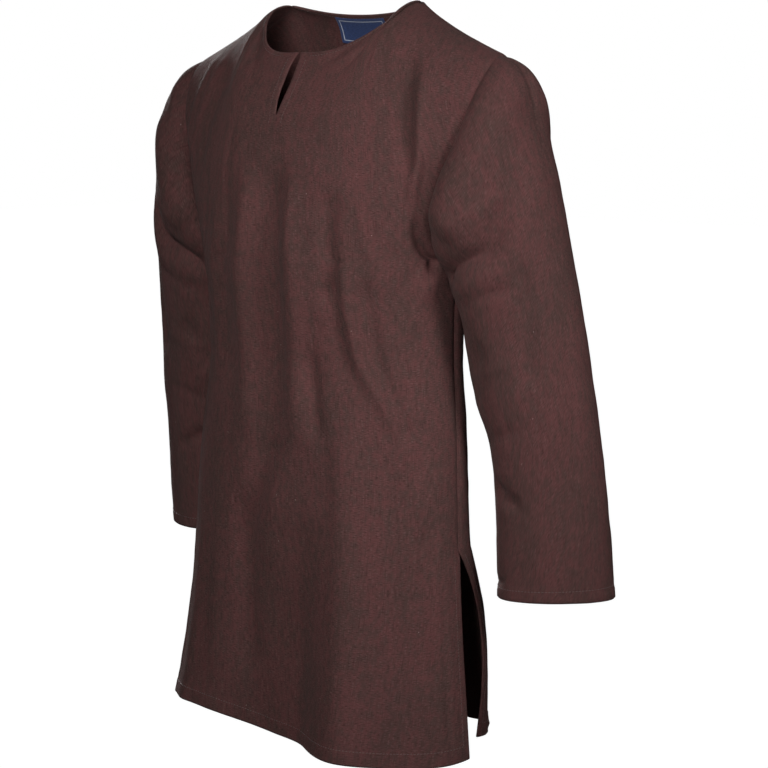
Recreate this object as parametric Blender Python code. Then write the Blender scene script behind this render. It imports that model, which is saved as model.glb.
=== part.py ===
"""A long-sleeved viking tunic of dark brown woven cloth, hollow and filled out as if worn.

Units are metres and +Z is up. The front faces -Y and the wearer's left is +X. The origin lies
between the shoulders, near the height where the shoulder seams meet the neck. Each cut piece is
one sheet of points, worked out from the named sizes and the short tables below, and extruded
inwards by the cloth's thickness.
"""
import math
from collections import namedtuple

import bmesh
import bpy
import numpy as np
from mathutils import Vector

# Cloth and seams
CLOTH = 0.0015
SEAM_GAP = 0.00035
MERGE = 1e-6
MIRROR = np.array([-1.0, 1.0, 1.0])
HALF_CUT = 0.27

# Heights
HEM = -0.900
SIDE_SLIT_TOP = -0.652
UNDERARM = -0.300

# How far the back panel's edge parts from the front panel's, from the slit's top to the hem
SLIT_SPREAD_IN = 0.057
SLIT_SPREAD_BACK = 0.092
SLIT_SPREAD_POWER = 2.6

# Shoulder seam, from the neck to the sleeve
NECK_HALF_WIDTH = 0.105
NECK_SEAM_Y = 0.059
NECK_SEAM_Z = 0.007
SHOULDER_HALF_WIDTH = 0.233
SHOULDER_Y = 0.052
SHOULDER_Z = -0.0575
SHOULDER_SAG = 0.005

# Neckline and neck slit, and where the neckline's corner with the shoulder seam lies across a panel
FRONT_NECK_Y = -0.046
BACK_NECK_Y = 0.083
FRONT_NECK_SQUARENESS = 3.0
BACK_NECK_SQUARENESS = 2.0
NECK_SLIT_HALF_WIDTH = 0.011
NECK_SLIT_PULL = 0.10
NECK_SHARE = 0.50

# Fullness of the sections: 2 is an ellipse, more is squarer
FRONT_FULLNESS = 2.3
BACK_FULLNESS = 2.2
YOKE_FULLNESS = 2.15
SLEEVE_FULLNESS = 2.15

# The armhole: the part of the body's depth that it takes, and how quickly above the underarm
ARMHOLE_CUT_FRONT = 0.48
ARMHOLE_CUT_BACK = 0.66
ARMHOLE_TURN = 10
ARMHOLE_OUTWARD = 0.012
ARMHOLE_REACH = 6

# Folds die out this near to a seam, as a part of half the width or of the yoke's height
FOLD_FADE = 0.12

# Sleeves: where the rings have left the armhole's shape, and how far the right cuff is pushed up
ARMHOLE_BLEND = 0.20
FOLD_START = 0.09
PUSH_UP_FROM = -0.35
PUSH_UP_TO = -0.68
PUSH_UP = 0.030
SLEEVE_ROUND = 0.50

# The label, inside the back neck, sewn on a little to the wearer's right of the middle
LABEL_WIDTH = 0.076
LABEL_HEIGHT = 0.036
LABEL_DROP = 0.004
LABEL_SIDE = -0.0125
LABEL_THICKNESS = 0.001
LABEL_GAP = 0.0005
LABEL_COLUMNS = 8
LABEL_ROWS = 4

# Grid of each piece: columns across, rows up, and the sleeves' rings
FRONT_COLUMNS = 36
BACK_COLUMNS = 24
FRONT_SKIRT_ROWS = 26
BACK_SKIRT_ROWS = 20
ROWS_BELOW_NECK_SLIT = 12
ROWS_BESIDE_NECK_SLIT = 5
FRONT_YOKE_ROWS = ROWS_BELOW_NECK_SLIT + ROWS_BESIDE_NECK_SLIT
BACK_YOKE_ROWS = 14
YOKE_SPACING = 1.5
SLEEVE_RINGS = 25
RING_SPACING = 1.15

# The body of the tunic, a row for each height; the last row only sets the slope below it
Section = namedtuple("Section", "height side_x side_y front_y back_y")
TORSO = [
    Section(-0.910, 0.236, -0.011, -0.113, 0.175),
    Section(-0.850, 0.226, -0.004, -0.105, 0.158),
    Section(-0.750, 0.212, 0.004, -0.094, 0.130),
    Section(-0.652, 0.203, 0.010, -0.093, 0.108),
    Section(-0.560, 0.197, 0.015, -0.091, 0.107),
    Section(-0.500, 0.190, 0.022, -0.091, 0.106),
    Section(-0.420, 0.180, 0.030, -0.091, 0.108),
    Section(-0.360, 0.180, 0.031, -0.099, 0.120),
    Section(-0.300, 0.186, 0.030, -0.105, 0.132),
    Section(-0.240, 0.190, 0.030, -0.105, 0.134),
]

# The hems, as heights across the cloth; the front's swings up on the wearer's right
Hem = namedtuple("Hem", "across front back")
HEMS = [
    Hem(-0.27, -0.887, -0.900),
    Hem(-0.17, -0.874, -0.904),
    Hem(-0.09, -0.875, -0.899),
    Hem(-0.02, -0.886, -0.895),
    Hem(0.05, -0.900, -0.899),
    Hem(0.12, -0.904, -0.904),
    Hem(0.20, -0.902, -0.903),
    Hem(0.27, -0.898, -0.900),
]

# The left sleeve, a row for each ring: its outer and inner points, and half its depth
Ring = namedtuple("Ring", "outer_x outer_y outer_z inner_x inner_y inner_z half_depth")
SLEEVE = [
    Ring(0.233, 0.052, -0.0575, 0.186, 0.030, -0.300, 0.066),
    Ring(0.260, 0.048, -0.071, 0.193, 0.030, -0.303, 0.070),
    Ring(0.276, 0.046, -0.094, 0.197, 0.031, -0.313, 0.072),
    Ring(0.284, 0.050, -0.138, 0.199, 0.033, -0.337, 0.071),
    Ring(0.302, 0.060, -0.205, 0.199, 0.036, -0.369, 0.068),
    Ring(0.314, 0.076, -0.285, 0.200, 0.037, -0.410, 0.062),
    Ring(0.325, 0.094, -0.380, 0.206, 0.036, -0.462, 0.055),
    Ring(0.332, 0.112, -0.480, 0.226, 0.040, -0.530, 0.050),
    Ring(0.338, 0.126, -0.580, 0.232, 0.043, -0.605, 0.048),
    Ring(0.343, 0.137, -0.708, 0.234, 0.047, -0.708, 0.046),
]

# Folds, a row for each: the upper and the lower end as places across the cloth and heights,
# half of the width, and the lift at each end, which is negative for a trough. On a sleeve,
# across runs round from its outer line by the front to its inner line.
Fold = namedtuple("Fold", "across_top top across_bottom bottom width lift_top lift_bottom")
FRONT_FOLDS = [
    Fold(-0.015, -0.600, -0.022, -0.980, 0.050, 0.000, -0.034),
    Fold(0.092, -0.500, 0.087, -0.980, 0.040, 0.003, 0.024),
    Fold(0.180, -0.060, 0.221, -0.190, 0.012, -0.005, -0.007),
    Fold(0.205, -0.085, 0.238, -0.260, 0.012, 0.004, 0.008),
    Fold(0.246, -0.180, 0.222, -0.315, 0.010, -0.007, -0.009),
    Fold(0.002, -0.210, -0.009, -0.530, 0.014, -0.005, -0.006),
    Fold(-0.009, -0.530, -0.046, -0.660, 0.014, -0.006, -0.004),
    Fold(-0.036, -0.220, -0.045, -0.500, 0.015, 0.004, 0.005),
    Fold(0.024, -0.220, 0.014, -0.500, 0.014, 0.004, 0.004),
    Fold(0.082, -0.225, 0.070, -0.350, 0.012, -0.006, -0.006),
    Fold(0.092, -0.330, 0.104, -0.415, 0.011, 0.006, 0.010),
    Fold(0.104, -0.415, 0.152, -0.490, 0.011, 0.010, 0.007),
    Fold(0.080, -0.340, 0.098, -0.430, 0.010, -0.005, -0.008),
    Fold(0.098, -0.430, 0.126, -0.470, 0.010, -0.008, -0.006),
    Fold(0.127, -0.405, 0.169, -0.500, 0.011, -0.005, -0.007),
    Fold(0.038, -0.420, 0.047, -0.510, 0.010, -0.003, -0.004),
    Fold(-0.203, -0.060, -0.250, -0.170, 0.013, 0.006, 0.006),
    Fold(0.018, -0.730, 0.017, -0.980, 0.013, -0.003, -0.006),
    Fold(0.202, -0.620, 0.190, -0.800, 0.016, -0.006, -0.006),
    Fold(-0.047, -0.600, -0.038, -0.820, 0.015, -0.006, -0.006),
    Fold(-0.130, -0.640, -0.135, -0.980, 0.020, 0.003, 0.006),
]
BACK_FOLDS = [
    Fold(-0.060, -0.240, -0.048, -0.600, 0.018, -0.006, -0.008),
    Fold(0.075, -0.300, 0.092, -0.630, 0.017, -0.005, -0.008),
    Fold(0.010, -0.330, 0.022, -0.560, 0.016, 0.005, 0.006),
    Fold(0.200, -0.230, 0.150, -0.420, 0.015, -0.007, -0.005),
    Fold(-0.205, -0.220, -0.150, -0.440, 0.015, -0.008, -0.005),
    Fold(0.125, -0.600, 0.140, -0.980, 0.030, 0.003, 0.014),
    Fold(-0.105, -0.610, -0.125, -0.980, 0.032, 0.003, 0.015),
    Fold(0.008, -0.620, 0.015, -0.980, 0.028, -0.003, -0.014),
    Fold(-0.190, -0.060, -0.215, -0.160, 0.014, 0.005, 0.005),
    Fold(0.195, -0.060, 0.222, -0.170, 0.014, 0.005, 0.005),
]
SLEEVE_FOLDS = [
    Fold(0.055, -0.120, 0.165, -0.245, 0.022, 0.004, 0.011),
    Fold(0.045, -0.190, 0.130, -0.275, 0.014, -0.003, -0.009),
    Fold(0.130, -0.275, 0.215, -0.310, 0.014, -0.009, -0.008),
    Fold(0.090, -0.310, 0.120, -0.440, 0.014, -0.004, -0.004),
    Fold(0.215, -0.540, 0.150, -0.585, 0.013, -0.006, -0.004),
    Fold(0.180, -0.400, 0.225, -0.470, 0.014, -0.005, -0.004),
    Fold(0.420, -0.180, 0.340, -0.290, 0.018, -0.005, -0.009),
    Fold(0.400, -0.340, 0.320, -0.400, 0.015, -0.005, -0.007),
    Fold(0.410, -0.470, 0.340, -0.530, 0.015, -0.005, -0.005),
]


def flow(at, knots, values):
    """Values at the places asked for, on a smooth curve through a table's rows."""
    knots = np.asarray(knots, float)
    values = np.asarray(values, float)
    slopes = np.gradient(values, knots, axis=0)
    at = np.asarray(at, float)
    row = np.clip(np.searchsorted(knots, at) - 1, 0, len(knots) - 2)
    step = (knots[row + 1] - knots[row])[..., None]
    part = (at - knots[row])[..., None] / step
    start = values[row] * (2 * part**3 - 3 * part**2 + 1)
    end = values[row + 1] * (3 * part**2 - 2 * part**3)
    leave = slopes[row] * step * (part**3 - 2 * part**2 + part)
    arrive = slopes[row + 1] * step * (part**3 - part**2)
    return start + end + leave + arrive


def ease(part):
    """A soft step from 0 to 1."""
    part = np.clip(part, 0.0, 1.0)
    return part * part * (3.0 - 2.0 * part)


def rounded(turn, fullness):
    """Sine and cosine of a turn on a rounded square, which an ellipse is with fullness 2."""
    power = 2.0 / fullness
    sine = np.sin(turn)
    cosine = np.cos(turn)
    return np.sign(sine) * np.abs(sine)**power, np.sign(cosine) * np.abs(cosine)**power


def spaced(curve, places):
    """Points on a plan curve at the given parts of its length."""
    steps = np.linalg.norm(np.diff(curve, axis=0), axis=1)
    length = np.concatenate([[0.0], np.cumsum(steps)])
    wanted = np.asarray(places) * length[-1]
    return [np.interp(wanted, length, curve[:, axis]) for axis in range(2)]


def section(across, height, is_front, cut=0.0):
    """Points of a half section of the body, less a part of its depth that the armhole takes."""
    heights = [row.height for row in TORSO]
    side_x, side_y, front_y, back_y = flow(height, heights, [row[1:] for row in TORSO]).T
    if is_front:
        centre_y = front_y
        fullness = FRONT_FULLNESS
    else:
        open_part = np.clip((SIDE_SLIT_TOP - height) / (SIDE_SLIT_TOP - HEM), 0.0, 1.0)
        side_x = side_x - SLIT_SPREAD_IN * open_part
        side_y = side_y + SLIT_SPREAD_BACK * (1.0 - (1.0 - open_part)**SLIT_SPREAD_POWER)
        centre_y = back_y
        fullness = BACK_FULLNESS
    last_turn = np.arccos(cut**(fullness / 2))
    sine, cosine = rounded(across * last_turn, fullness)
    x = side_x * sine / rounded(last_turn, fullness)[0]
    y = side_y + (centre_y - side_y) * cosine
    return np.stack([x, y, height], axis=-1)


def top_edge(reach, is_front):
    """The neckline and the shoulder seam: where each ends, and the shoulder's ridge."""
    turn = np.linspace(0.0, math.pi / 2, 60)
    neck_y = FRONT_NECK_Y if is_front else BACK_NECK_Y
    sine, cosine = rounded(turn, FRONT_NECK_SQUARENESS if is_front else BACK_NECK_SQUARENESS)
    plan = np.stack([NECK_HALF_WIDTH * sine, NECK_SEAM_Y + (neck_y - NECK_SEAM_Y) * cosine], axis=1)
    neck_x, neck_line_y = spaced(plan, np.clip(reach / NECK_SHARE, 0.0, 1.0))
    part = np.clip((reach - NECK_SHARE) / (1.0 - NECK_SHARE), 0.0, 1.0)
    seam_x = NECK_HALF_WIDTH + (SHOULDER_HALF_WIDTH - NECK_HALF_WIDTH) * part
    ridge_y = NECK_SEAM_Y + (SHOULDER_Y - NECK_SEAM_Y) * part
    ridge_z = NECK_SEAM_Z + (SHOULDER_Z - NECK_SEAM_Z) * part
    ridge_z -= SHOULDER_SAG * np.sin(math.pi * part**0.7)
    on_seam = reach > NECK_SHARE
    return np.where(on_seam, seam_x, neck_x), np.where(on_seam, ridge_y, neck_line_y), ridge_y, ridge_z


def yoke(across, rise, is_front):
    """Points above the underarm: rise goes from 0 there to 1 at the neckline or shoulder."""
    reach = np.abs(across)
    cut = (ARMHOLE_CUT_FRONT if is_front else ARMHOLE_CUT_BACK) * np.sqrt(1.0 - (1.0 - rise)**ARMHOLE_TURN)
    chest = section(reach, np.full_like(reach, UNDERARM), is_front, cut)
    top_x, top_y, ridge_y, ridge_z = top_edge(reach, is_front)
    share = np.clip((ridge_y - top_y) / (ridge_y - chest[:, 1]), 0.0, 1.0)
    last_turn = np.arccos(share**(YOKE_FULLNESS / 2))
    sine, cosine = rounded(rise * last_turn, YOKE_FULLNESS)
    x = chest[:, 0] + (top_x - chest[:, 0]) * ease(rise**0.8)
    x += ARMHOLE_OUTWARD * np.sin(math.pi * rise) * reach**ARMHOLE_REACH
    y = ridge_y + (chest[:, 1] - ridge_y) * cosine
    z = UNDERARM + (ridge_z - UNDERARM) * sine
    return np.stack([np.sign(across) * x, y, z], axis=-1)


def outward(points, wrap=False):
    """Outward directions of a grid of points, seen from the front: rows up, columns to +X."""
    if wrap:
        across = np.roll(points, -1, axis=1) - np.roll(points, 1, axis=1)
    else:
        across = np.gradient(points, axis=1)
    normal = np.cross(across, np.gradient(points, axis=0))
    return normal / np.linalg.norm(normal, axis=2, keepdims=True)


def fold_lift(across, height, folds):
    """How far the folds of a table lift the cloth at each place."""
    lift = np.zeros_like(height)
    for fold in folds:
        run = np.array([fold.across_bottom - fold.across_top, fold.bottom - fold.top])
        length = np.hypot(*run)
        along = ((across - fold.across_top) * run[0] + (height - fold.top) * run[1]) / length**2
        off = ((across - fold.across_top) * run[1] - (height - fold.top) * run[0]) / length
        ends = ease(along * 4 + 0.5) * ease((1 - along) * 4 + 0.5)
        crest = fold.lift_top + (fold.lift_bottom - fold.lift_top) * np.clip(along, 0.0, 1.0)
        lift += crest * np.exp(-(off / fold.width)**2) * ends
    return lift


def panel(columns, skirt_rows, yoke_rows, is_front):
    """A panel's outer points, folded, from the hem up, and the directions out of its cloth."""
    across = np.linspace(-1.0, 1.0, columns + 1)
    rises = np.linspace(0.0, 1.0, yoke_rows + 1)[1:]**YOKE_SPACING
    hems = flow(across * HALF_CUT, [row.across for row in HEMS], [row[1:] for row in HEMS])
    hem = hems[:, 0] if is_front else hems[:, 1]
    climb = np.linspace(0.0, 1.0, skirt_rows + 1)
    rows = [section(across, hem + (UNDERARM - hem) * part, is_front) for part in climb]
    rows += [yoke(across, np.full_like(across, rise), is_front) for rise in rises]
    points = np.array(rows)
    below_seam = np.concatenate([np.ones(skirt_rows + 1), ease((1.0 - rises) / FOLD_FADE)])
    free = np.outer(below_seam, ease((1.0 - np.abs(across)) / FOLD_FADE))
    facing = 1.0 if is_front else -1.0
    folds = FRONT_FOLDS if is_front else BACK_FOLDS
    lift = fold_lift(across * HALF_CUT, points[:, :, 2], folds) * free
    points = points + facing * outward(points) * lift[:, :, None]
    points[:, :, 1] -= facing * SEAM_GAP / 2
    directions = facing * outward(points)
    on_seam = np.zeros(points.shape[:2], bool)
    on_seam[:, [0, -1]] = True
    on_seam[-1] = np.abs(across) > NECK_SHARE - FOLD_FADE
    directions[on_seam] = level(directions[on_seam])
    return points, directions


def level(directions):
    """A seam edge's directions turned straight, so that front and back meet face to face."""
    flat = directions * np.array([1.0, 0.0, 1.0])
    return flat / np.linalg.norm(flat, axis=1, keepdims=True)


def armhole_loop(front, back):
    """The left armhole's edge, from the shoulder down the front and up the back."""
    down_front = front[FRONT_SKIRT_ROWS:, -1][::-1]
    up_back = back[BACK_SKIRT_ROWS:, -1]
    loop = np.concatenate([down_front, up_back[1:-1]])
    loop[0] = (down_front[0] + up_back[-1]) / 2
    loop[len(down_front) - 1] = (down_front[-1] + up_back[0]) / 2
    return loop


def share_armhole(directions, shared, skirt_rows, is_front):
    """Set both armhole edges of a panel to the directions that the sleeves share with them."""
    yoke_rows = len(directions) - skirt_rows
    if is_front:
        edge = shared[:yoke_rows][::-1]
    else:
        edge = np.concatenate([shared[-(yoke_rows - 1):], shared[:1]])
    directions[skirt_rows:, -1] = edge
    directions[skirt_rows:, 0] = edge * MIRROR


def left_sleeve(armhole):
    """The left sleeve's rings, from the panels' own armhole edge to the cuff."""
    table = np.array(SLEEVE)
    level_part = (armhole[:, 2] - UNDERARM) / (armhole[0, 2] - UNDERARM) * 2 - 1
    turn = np.arccos(np.sign(level_part) * np.abs(level_part)**(SLEEVE_FULLNESS / 2))
    turn[FRONT_YOKE_ROWS:] = 2 * math.pi - turn[FRONT_YOKE_ROWS:]
    steps = np.linalg.norm(np.diff(table[:, :3], axis=0), axis=1)
    knots = np.concatenate([[0.0], np.cumsum(steps)])
    stations = knots[-1] * np.linspace(0.0, 1.0, SLEEVE_RINGS)**RING_SPACING
    sine, cosine = rounded(turn, SLEEVE_FULLNESS)
    loops = []
    for ring in flow(stations, knots, table):
        outer, inner, half_depth = ring[:3], ring[3:6], ring[6]
        half = (outer - inner) / 2
        forward = np.array([half[1], -half[0], 0.0]) / np.hypot(half[0], half[1])
        loops.append((outer + inner) / 2 + np.outer(cosine, half) + np.outer(sine, forward) * half_depth)
    points = np.array(loops)
    points += (armhole - loops[0]) * (1.0 - ease(stations / ARMHOLE_BLEND))[:, None, None]
    lift = fold_lift(turn / (2 * math.pi) * SLEEVE_ROUND, points[:, :, 2], SLEEVE_FOLDS)
    lift *= ease(stations / FOLD_START)[:, None]
    return points + outward(points, True) * lift[:, :, None]


def part_seam(sleeve, shared):
    """Move the sleeve's first ring off the armhole, square to the two walls' common face."""
    along = np.roll(sleeve[0], -1, axis=0) - np.roll(sleeve[0], 1, axis=0)
    square = np.cross(along, shared)
    square /= np.linalg.norm(square, axis=1, keepdims=True)
    leaving = np.sign(np.sum(square * (sleeve[2] - sleeve[0]), axis=1, keepdims=True))
    sleeve[0] += square * leaving * SEAM_GAP


def right_sleeve(left):
    """The left sleeve mirrored, with its cuff pushed up a little."""
    points = left * MIRROR
    points[:, :, 2] += PUSH_UP * ease((PUSH_UP_FROM - points[:, :, 2]) / (PUSH_UP_FROM - PUSH_UP_TO))
    return points


def label_points(inside):
    """The label's points, made from the back panel's inner points."""
    downwards = inside[::-1]
    spine = downwards[:, BACK_COLUMNS // 2]
    depth = np.concatenate([[0.0], np.cumsum(np.linalg.norm(np.diff(spine, axis=0), axis=1))])
    places = LABEL_SIDE + np.linspace(-LABEL_WIDTH / 2, LABEL_WIDTH / 2, LABEL_COLUMNS + 1)
    rows = []
    for drop in np.linspace(LABEL_DROP + LABEL_HEIGHT, LABEL_DROP, LABEL_ROWS + 1):
        place = np.interp(drop, depth, np.arange(len(depth)))
        upper = int(place)
        line = downwards[upper] * (upper + 1 - place) + downwards[upper + 1] * (place - upper)
        rows.append([places] + [np.interp(places, line[:, 0], line[:, axis]) for axis in (1, 2)])
    return np.moveaxis(np.array(rows), 1, 2)


def open_neck_slit(points):
    """Pull the front apart at the neck slit: the lips' points, wearer's right and left."""
    across = np.linspace(-1.0, 1.0, FRONT_COLUMNS + 1)
    beside = np.linspace(0.0, 1.0, ROWS_BESIDE_NECK_SLIT + 1)[1:]
    pull = np.zeros(points.shape[:2])
    pull[-len(beside):] = np.outer(beside, np.exp(-(across / NECK_SLIT_PULL)**2))
    pull *= NECK_SLIT_HALF_WIDTH
    middle = FRONT_COLUMNS // 2
    right = points[:, :middle + 1].copy()
    left = points[:, middle:].copy()
    right[:, :, 0] -= pull[:, :middle + 1]
    left[:, :, 0] += pull[:, middle:]
    return right, left


def clear_scene():
    """Start from an empty file."""
    for thing in list(bpy.data.objects):
        bpy.data.objects.remove(thing, do_unlink=True)


def finish(name, colour, roughness):
    """A material for one piece."""
    material = bpy.data.materials.new(name)
    material.use_nodes = True
    shader = material.node_tree.nodes["Principled BSDF"]
    shader.inputs["Base Color"].default_value = (*colour, 1.0)
    shader.inputs["Roughness"].default_value = roughness
    shader.inputs["Metallic"].default_value = 0.0
    material.diffuse_color = (*colour, 1.0)
    return material


def add_sheet(name, grids, material, wrap=False, flip=False):
    """One cut piece: pairs of inner and outer grids, made a sheet and extruded outwards."""
    shape = bmesh.new()
    place = shape.verts.layers.int.new("place")
    outer_points = np.concatenate([outer.reshape(-1, 3) for _, outer in grids])
    count = 0
    for inner, _ in grids:
        rows = []
        for line in inner:
            rows.append([shape.verts.new(Vector(point)) for point in line])
            for vert in rows[-1]:
                vert[place] = count
                count += 1
        columns = len(rows[0])
        for lower, upper in zip(rows, rows[1:]):
            for left in range(columns if wrap else columns - 1):
                right = (left + 1) % columns
                corners = [lower[left], lower[right], upper[right], upper[left]]
                shape.faces.new(corners[::-1] if flip else corners)
    bmesh.ops.remove_doubles(shape, verts=shape.verts, dist=MERGE)
    made = bmesh.ops.extrude_face_region(shape, geom=list(shape.faces), use_keep_orig=True)
    for vert in made["geom"]:
        if isinstance(vert, bmesh.types.BMVert):
            vert.co = Vector(outer_points[vert[place]])
    mesh = bpy.data.meshes.new(name)
    shape.to_mesh(mesh)
    shape.free()
    mesh.shade_smooth()
    mesh.materials.append(material)
    bpy.context.scene.collection.objects.link(bpy.data.objects.new(name, mesh))


def build():
    """Make every piece."""
    clear_scene()
    brown = finish("brown_cloth", (0.062, 0.030, 0.029), 0.9)
    blue = finish("blue_label", (0.018, 0.032, 0.082), 0.7)
    front, front_out = panel(FRONT_COLUMNS, FRONT_SKIRT_ROWS, FRONT_YOKE_ROWS, True)
    back, back_out = panel(BACK_COLUMNS, BACK_SKIRT_ROWS, BACK_YOKE_ROWS, False)
    sleeve = left_sleeve(armhole_loop(front, back))
    sleeve_out = outward(sleeve, True)
    panels_out = armhole_loop(front_out, back_out)
    shared = panels_out / np.linalg.norm(panels_out, axis=1, keepdims=True) + sleeve_out[0]
    shared /= np.linalg.norm(shared, axis=1, keepdims=True)
    share_armhole(front_out, shared, FRONT_SKIRT_ROWS, True)
    share_armhole(back_out, shared, BACK_SKIRT_ROWS, False)
    sleeve_out[0] = shared
    part_seam(sleeve, shared)
    right = right_sleeve(sleeve)
    right_out = -outward(right, True)
    right_out[0] = shared * MIRROR
    halves = zip(open_neck_slit(front - front_out * CLOTH), open_neck_slit(front))
    add_sheet("front", list(halves), brown)
    add_sheet("back", [(back - back_out * CLOTH, back)], brown, flip=True)
    add_sheet("sleeve_left", [(sleeve - sleeve_out * CLOTH, sleeve)], brown, wrap=True)
    add_sheet("sleeve_right", [(right - right_out * CLOTH, right)], brown, wrap=True, flip=True)
    label = label_points(back - back_out * (CLOTH + LABEL_GAP))
    inwards = outward(label) * LABEL_THICKNESS
    add_sheet("label", [(label + inwards, label)], blue, flip=True)


build()
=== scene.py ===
# %% [markdown]
# A viking tunic in dark brown woven cloth
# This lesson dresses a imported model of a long-sleeved tunic. The solids already have the garment's
# true shape: front, back, two sleeves and a small neck label, each a wall of cloth. Here every one
# of them gets a finer shell with its creases, turned hems, stitches, weave and sheen.
# The numbers are metres, the front faces -Y, the wearer's left is +X, and the origin lies between
# the shoulders.

# %% Load the model
import math
from collections import namedtuple

import bpy
import numpy as np
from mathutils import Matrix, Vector, noise


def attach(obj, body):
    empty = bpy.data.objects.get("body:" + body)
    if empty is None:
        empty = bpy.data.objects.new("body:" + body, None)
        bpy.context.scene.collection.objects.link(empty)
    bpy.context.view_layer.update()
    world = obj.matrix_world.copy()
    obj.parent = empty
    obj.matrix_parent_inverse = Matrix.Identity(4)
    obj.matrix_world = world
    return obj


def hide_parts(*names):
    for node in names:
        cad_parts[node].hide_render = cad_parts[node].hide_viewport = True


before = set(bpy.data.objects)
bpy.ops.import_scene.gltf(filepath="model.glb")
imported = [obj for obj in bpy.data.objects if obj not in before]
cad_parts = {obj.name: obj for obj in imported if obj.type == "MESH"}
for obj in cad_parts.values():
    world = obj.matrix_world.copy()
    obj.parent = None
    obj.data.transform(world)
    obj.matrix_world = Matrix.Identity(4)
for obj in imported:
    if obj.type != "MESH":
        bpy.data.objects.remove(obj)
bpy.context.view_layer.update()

print("nodes:", sorted(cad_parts))

# %% [markdown]
# The camera stands where the photographer's did: on the wearer's left, at chest height, and it
# looks down a little. A long lens keeps the sides of the tunic almost parallel. Only the lens, the
# place and the direction were worked out from the picture; nothing in the scene depends on them.

# %% The camera
CAMERA_PLACE = Vector((1.9447, -2.2855, -0.1027))
CAMERA_FORWARD = Vector((-0.6248, 0.7716, -0.1192))
CAMERA_LENS = 113.7


def add_camera():
    """The camera at the photograph's viewing angle."""
    turned = CAMERA_FORWARD.to_track_quat("-Z", "Y").to_euler()
    bpy.ops.object.camera_add(location=CAMERA_PLACE, rotation=turned)
    camera = bpy.context.object
    camera.data.lens = CAMERA_LENS
    bpy.context.scene.camera = camera
    return camera


print("camera:", add_camera().name)

# %% [markdown]
# A material is a small graph of nodes. Written as plain sums it is easier to read, so one class
# wraps a socket and turns +, - and * into Math nodes. Every other node comes from one method, which
# links what is a socket and sets what is a value.

# %% A socket that can be added and multiplied
class Socket:
    """One output of a node inside a material's graph."""

    def __init__(self, tree, output):
        self.tree = tree
        self.output = output

    def math(self, operation, *others):
        """A Math node on this value and the others."""
        values = dict(enumerate([self, *others]))
        return node(self.tree, "ShaderNodeMath", {"operation": operation}, values)

    def step(self, low, high):
        """A soft step from 0 at low to 1 at high."""
        return node(self.tree, "ShaderNodeMapRange", {"interpolation_type": "SMOOTHSTEP", "clamp": True},
                    {"Value": self, "From Min": low, "From Max": high})

    def beside(self, output):
        """Another output of the same node."""
        return Socket(self.tree, self.output.node.outputs[output])

    def __add__(self, other):
        return self.math("ADD", other)

    def __sub__(self, other):
        return self.math("SUBTRACT", other)

    def __rsub__(self, other):
        return node(self.tree, "ShaderNodeMath", {"operation": "SUBTRACT"}, {0: other, 1: self})

    def __mul__(self, other):
        return self.math("MULTIPLY", other)

    __radd__ = __add__
    __rmul__ = __mul__


def fill(inputs, values):
    """Sets a node's inputs: a link for a Socket, and the value itself for anything else."""
    for key, value in values.items():
        if isinstance(value, Socket):
            value.tree.links.new(value.output, inputs[key])
        else:
            inputs[key].default_value = value


def node(tree, kind, settings, values, output=0):
    """A node of any kind: its settings first, then the values or links of its sockets."""
    made = tree.nodes.new(kind)
    for key, value in settings.items():
        setattr(made, key, value)
    fill(made.inputs, values)
    return Socket(tree, made.outputs[output])


def new_material(name):
    """A material, its node tree and the inputs of its shader."""
    material = bpy.data.materials.new(name)
    material.use_nodes = True
    tree = material.node_tree
    return material, tree, tree.nodes["Principled BSDF"].inputs


print("shader helpers ready")

# %% [markdown]
# One large soft lamp stands a little above the camera, and a weaker one at the side lights the near
# sleeve, so the folds have a bright and a dark side. Both have grids that keep their light on the
# chest and the near sleeve, and it dies away towards the far sleeve and the hem. A third rakes over
# the back for views from behind, and this camera sees only its faint rim on the far shoulder. The
# white surround hardly fills the shade: it is white where the camera sees it, and dim as a light.
# The floor is a plain white light table far below the hem.

# %% The floor, the world and the lamps
FLOOR_HEIGHT = -1.50
FLOOR_SIZE = 40.0
Lamp = namedtuple("Lamp", "place target size spread power")
LAMPS = {
    "main_lamp": Lamp((0.90, -1.90, 0.42), (0.10, -0.05, -0.42), 0.7, 72.0, 7.0),
    "side_lamp": Lamp((2.10, -0.30, 0.45), (0.32, 0.08, -0.33), 0.7, 42.0, 2.0),
    "back_lamp": Lamp((-1.95, 1.35, 0.45), (-0.05, 0.08, -0.42), 0.8, 80.0, 12.0),
}
FILL_STRENGTH = 0.03
FLOOR_GLOW = 1.0
FLOOR_GREY = (0.05, 0.05, 0.05, 1.0)
WHITE = (1.0, 1.0, 1.0, 1.0)


def add_floor():
    """A wide light table, which glows for the camera and doesn't light the tunic from below."""
    bpy.ops.object.select_all(action="DESELECT")
    bpy.ops.mesh.primitive_plane_add(size=FLOOR_SIZE, location=(0.0, 0.0, FLOOR_HEIGHT))
    floor = bpy.context.object
    floor.name = "floor"
    material, _, shader = new_material("pale_floor")
    fill(shader, {"Base Color": FLOOR_GREY, "Emission Color": WHITE, "Emission Strength": FLOOR_GLOW})
    floor.data.materials.append(material)
    floor.visible_diffuse = False
    floor.visible_glossy = False


def add_lamps():
    """Soft square lamps, each aimed at its own target."""
    for name, kind in LAMPS.items():
        turned = (Vector(kind.target) - Vector(kind.place)).to_track_quat("-Z", "Y").to_euler()
        bpy.ops.object.light_add(type="AREA", location=kind.place, rotation=turned)
        lamp = bpy.context.object
        lamp.name = name
        lamp.data.size = kind.size
        lamp.data.spread = math.radians(kind.spread)
        lamp.data.energy = kind.power


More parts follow.
